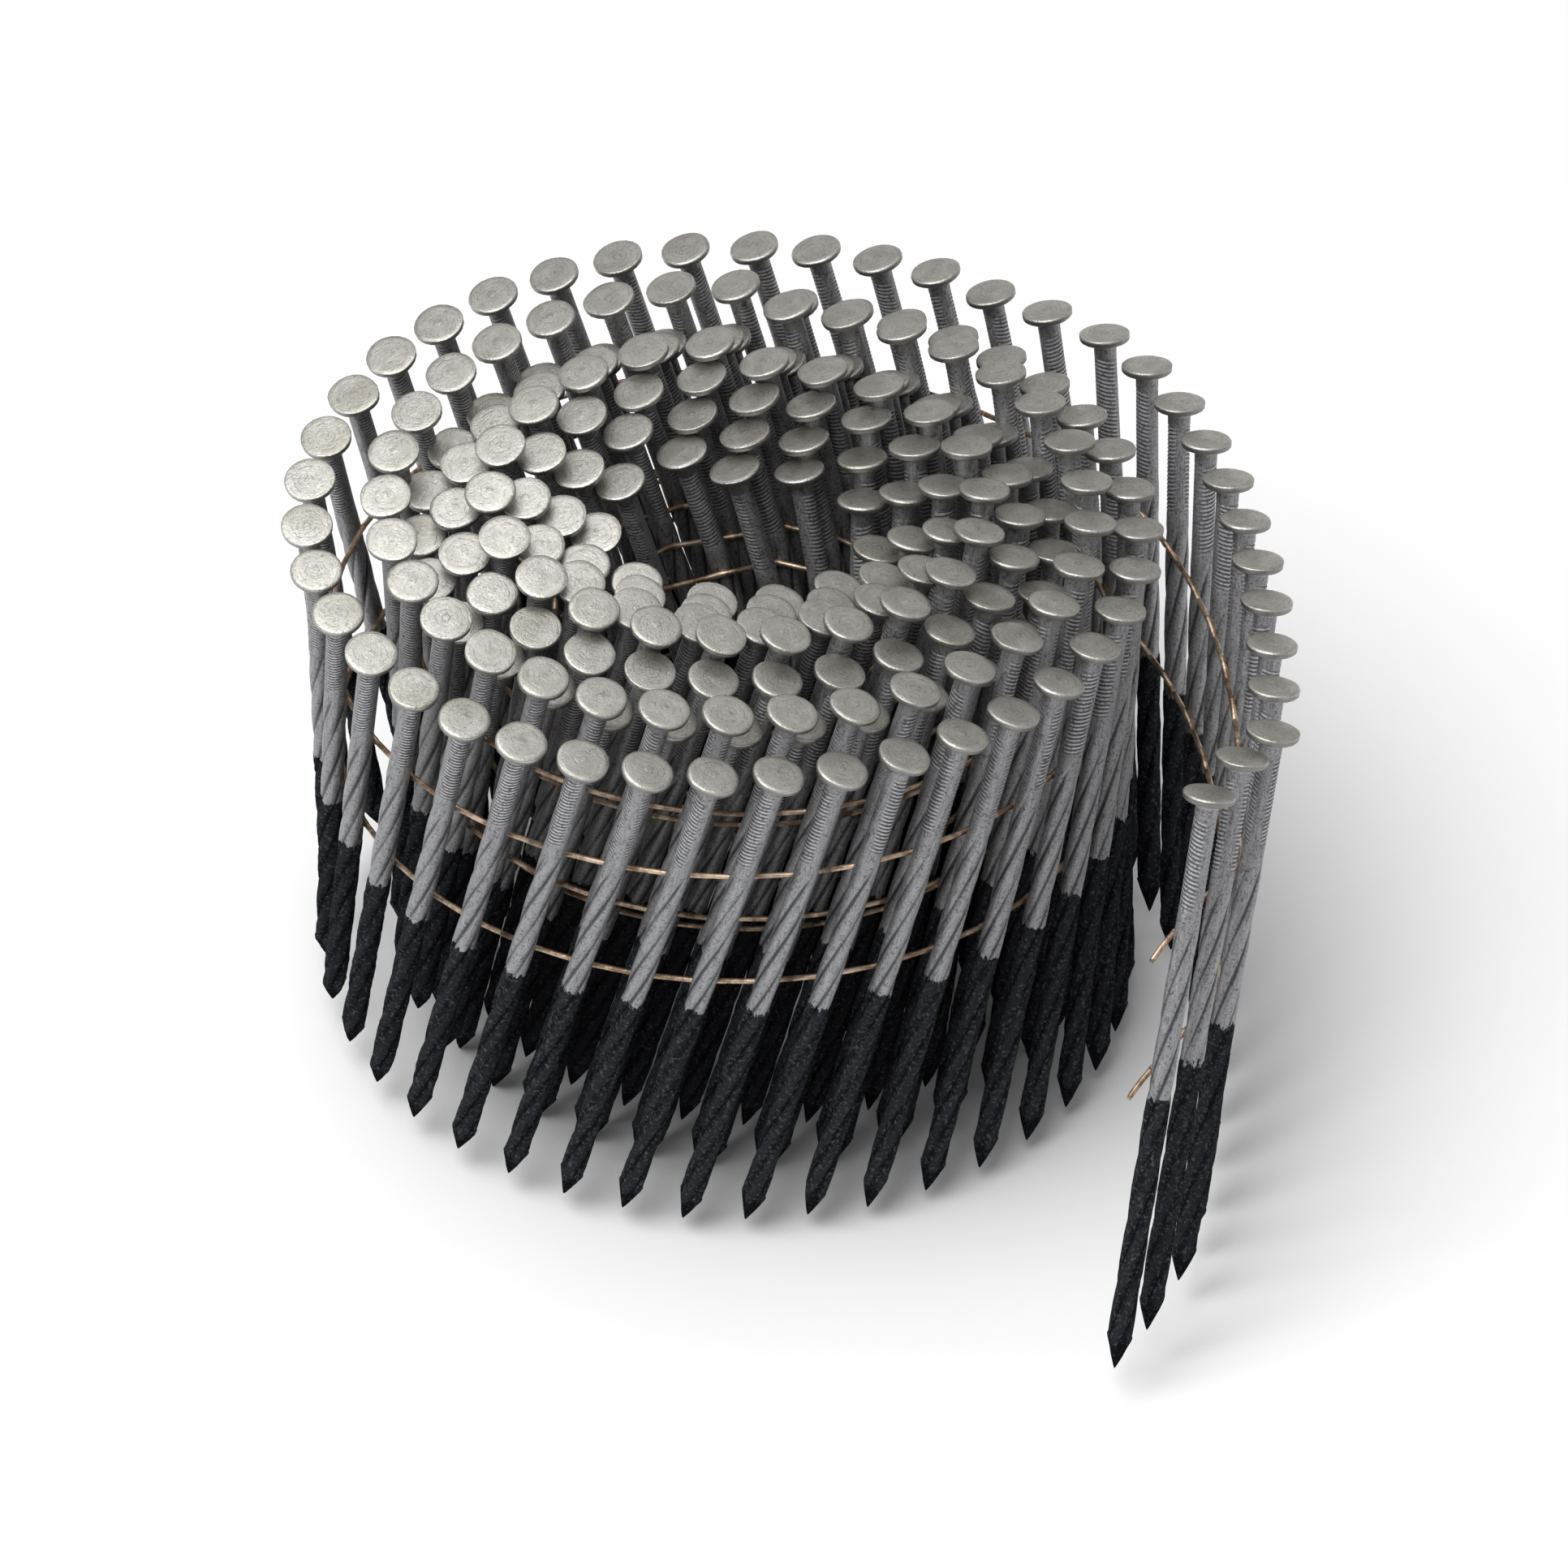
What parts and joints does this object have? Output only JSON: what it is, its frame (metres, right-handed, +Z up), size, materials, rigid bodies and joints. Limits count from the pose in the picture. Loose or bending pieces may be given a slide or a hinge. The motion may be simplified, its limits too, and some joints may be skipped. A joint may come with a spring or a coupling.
{
  "type": "coil of wire-collated nails",
  "caption": "Coil of slanted screw-shank nails welded to two collation wires, heads up, with a loose unwound tail that bends, as fed to a pneumatic coil nailer.",
  "frame": {"origin": "under the middle of the bounding box, on the surface that the lowest nail points touch", "axes": "+Z up towards the nail heads, +Y away from the free end of the tail, along the longest extent"},
  "size_m": [0.1132, 0.1236, 0.0746],
  "materials": {
    "nail_steel": "bright drawn steel above the lower wire, with pale flat heads, and a charcoal-black coating below it",
    "collation_wire": "thin copper-coated steel wire, dull bronze in the shade"
  },
  "bodies": {
    "coil": {"turn_1_strip_1": "nail_steel", "turn_1_strip_2": "nail_steel", "turn_1_strip_3": "nail_steel", "turn_1_strip_4": "nail_steel", "turn_1_strip_5": "nail_steel", "turn_1_strip_6": "nail_steel", "turn_1_strip_7": "nail_steel", "turn_2_strip_1": "nail_steel", "turn_2_strip_2": "nail_steel", "turn_2_strip_3": "nail_steel", "turn_2_strip_4": "nail_steel", "turn_2_strip_5": "nail_steel", "turn_2_strip_6": "nail_steel", "turn_3_strip_1": "nail_steel", "turn_3_strip_2": "nail_steel", "turn_3_strip_3": "nail_steel", "turn_3_strip_4": "nail_steel", "turn_3_strip_5": "nail_steel", "turn_4_strip_1": "nail_steel", "turn_4_strip_2": "nail_steel", "turn_4_strip_3": "nail_steel", "turn_4_strip_4": "nail_steel", "turn_4_strip_5": "nail_steel", "turn_5_strip_1": "nail_steel", "turn_5_strip_2": "nail_steel", "turn_5_strip_3": "nail_steel", "turn_5_strip_4": "nail_steel", "turn_5_strip_5": "nail_steel", "turn_6_strip_1": "nail_steel", "turn_6_strip_2": "nail_steel", "turn_6_strip_3": "nail_steel", "turn_6_strip_4": "nail_steel", "turn_7_strip_1": "nail_steel", "turn_7_strip_2": "nail_steel", "turn_7_strip_3": "nail_steel", "turn_7_strip_4": "nail_steel", "turn_8_strip_1": "nail_steel", "turn_8_strip_2": "nail_steel", "turn_8_strip_3": "nail_steel", "turn_8_strip_4": "nail_steel", "tail_anchor_pair": "nail_steel"},
    "tail_link_01": {"tail_nail_01": "nail_steel"},
    "tail_link_02": {"tail_nail_02": "nail_steel"},
    "tail_link_03": {"tail_nail_03": "nail_steel"},
    "tail_link_04": {"tail_nail_04": "nail_steel"},
    "tail_link_05": {"tail_nail_05": "nail_steel"},
    "tail_link_06": {"tail_nail_06": "nail_steel"},
    "tail_link_07": {"tail_nail_07": "nail_steel"},
    "tail_link_08": {"tail_nail_08": "nail_steel"},
    "tail_link_09": {"tail_nail_09": "nail_steel"},
    "tail_link_10": {"tail_nail_10": "nail_steel"},
    "tail_link_11": {"tail_nail_11": "nail_steel"},
    "tail_link_12": {"tail_nail_12": "nail_steel"},
    "tail_link_13": {"tail_nail_13": "nail_steel"},
    "tail_link_14": {"tail_nail_14": "nail_steel"},
    "tail_link_15": {"tail_nail_15": "nail_steel"},
    "tail_link_16": {"tail_nail_16": "nail_steel", "upper_wire_end": "collation_wire", "lower_wire_end": "collation_wire"}
  },
  "joints": [
    {"name": "tail_bend_01", "type": "hinge", "parent": "coil", "child": "tail_link_01", "pos_m": [0.01966, 0.05214, 0.04503], "axis": [0, 0, 1], "range_deg": [-0.5, 7]},
    {"name": "tail_bend_02", "type": "hinge", "parent": "tail_link_01", "child": "tail_link_02", "pos_m": [0.02567, 0.04822, 0.04503], "axis": [0, 0, 1], "range_deg": [-0.5, 7]},
    {"name": "tail_bend_03", "type": "hinge", "parent": "tail_link_02", "child": "tail_link_03", "pos_m": [0.0311, 0.04352, 0.04506], "axis": [0, 0, 1], "range_deg": [-0.5, 7]},
    {"name": "tail_bend_04", "type": "hinge", "parent": "tail_link_03", "child": "tail_link_04", "pos_m": [0.03588, 0.03815, 0.04512], "axis": [0, 0, 1], "range_deg": [-0.5, 7]},
    {"name": "tail_bend_05", "type": "hinge", "parent": "tail_link_04", "child": "tail_link_05", "pos_m": [0.03998, 0.03225, 0.04519], "axis": [0, 0, 1], "range_deg": [-0.5, 7]},
    {"name": "tail_bend_06", "type": "hinge", "parent": "tail_link_05", "child": "tail_link_06", "pos_m": [0.04341, 0.02592, 0.04522], "axis": [0, 0, 1], "range_deg": [-0.5, 7]},
    {"name": "tail_bend_07", "type": "hinge", "parent": "tail_link_06", "child": "tail_link_07", "pos_m": [0.04617, 0.01927, 0.04523], "axis": [0, 0, 1], "range_deg": [-0.5, 7]},
    {"name": "tail_bend_08", "type": "hinge", "parent": "tail_link_07", "child": "tail_link_08", "pos_m": [0.04829, 0.01238, 0.04523], "axis": [0, 0, 1], "range_deg": [-0.5, 7]},
    {"name": "tail_bend_09", "type": "hinge", "parent": "tail_link_08", "child": "tail_link_09", "pos_m": [0.04982, 0.00533, 0.04524], "axis": [0, 0, 1], "range_deg": [-4, 5]},
    {"name": "tail_bend_10", "type": "hinge", "parent": "tail_link_09", "child": "tail_link_10", "pos_m": [0.0508, -0.00182, 0.04525], "axis": [0, 0, 1], "range_deg": [-4, 5]},
    {"name": "tail_bend_11", "type": "hinge", "parent": "tail_link_10", "child": "tail_link_11", "pos_m": [0.05129, -0.00902, 0.04525], "axis": [0, 0, 1], "range_deg": [-4, 5]},
    {"name": "tail_bend_12", "type": "hinge", "parent": "tail_link_11", "child": "tail_link_12", "pos_m": [0.05135, -0.01625, 0.04526], "axis": [0, 0, 1], "range_deg": [-4, 5]},
    {"name": "tail_bend_13", "type": "hinge", "parent": "tail_link_12", "child": "tail_link_13", "pos_m": [0.05105, -0.02347, 0.04527], "axis": [0, 0, 1], "range_deg": [-4, 5]},
    {"name": "tail_bend_14", "type": "hinge", "parent": "tail_link_13", "child": "tail_link_14", "pos_m": [0.05044, -0.03064, 0.04528], "axis": [0, 0, 1], "range_deg": [-4, 5]},
    {"name": "tail_bend_15", "type": "hinge", "parent": "tail_link_14", "child": "tail_link_15", "pos_m": [0.04824, -0.03728, 0.04561], "axis": [0, 0, 1], "range_deg": [-4, 5]},
    {"name": "tail_bend_16", "type": "hinge", "parent": "tail_link_15", "child": "tail_link_16", "pos_m": [0.0445, -0.04343, 0.04595], "axis": [0, 0, 1], "range_deg": [-4, 5]}
  ],
  "couplings": [
    {"joint": "tail_bend_02", "follows": "tail_bend_01", "ratio": 1},
    {"joint": "tail_bend_03", "follows": "tail_bend_01", "ratio": 1},
    {"joint": "tail_bend_04", "follows": "tail_bend_01", "ratio": 1},
    {"joint": "tail_bend_05", "follows": "tail_bend_01", "ratio": 1},
    {"joint": "tail_bend_06", "follows": "tail_bend_01", "ratio": 1},
    {"joint": "tail_bend_07", "follows": "tail_bend_01", "ratio": 1},
    {"joint": "tail_bend_08", "follows": "tail_bend_01", "ratio": 1},
    {"joint": "tail_bend_10", "follows": "tail_bend_09", "ratio": 1},
    {"joint": "tail_bend_11", "follows": "tail_bend_09", "ratio": 1},
    {"joint": "tail_bend_12", "follows": "tail_bend_09", "ratio": 1},
    {"joint": "tail_bend_13", "follows": "tail_bend_09", "ratio": 1},
    {"joint": "tail_bend_14", "follows": "tail_bend_09", "ratio": 1},
    {"joint": "tail_bend_15", "follows": "tail_bend_09", "ratio": 1},
    {"joint": "tail_bend_16", "follows": "tail_bend_09", "ratio": 1}
  ]
}
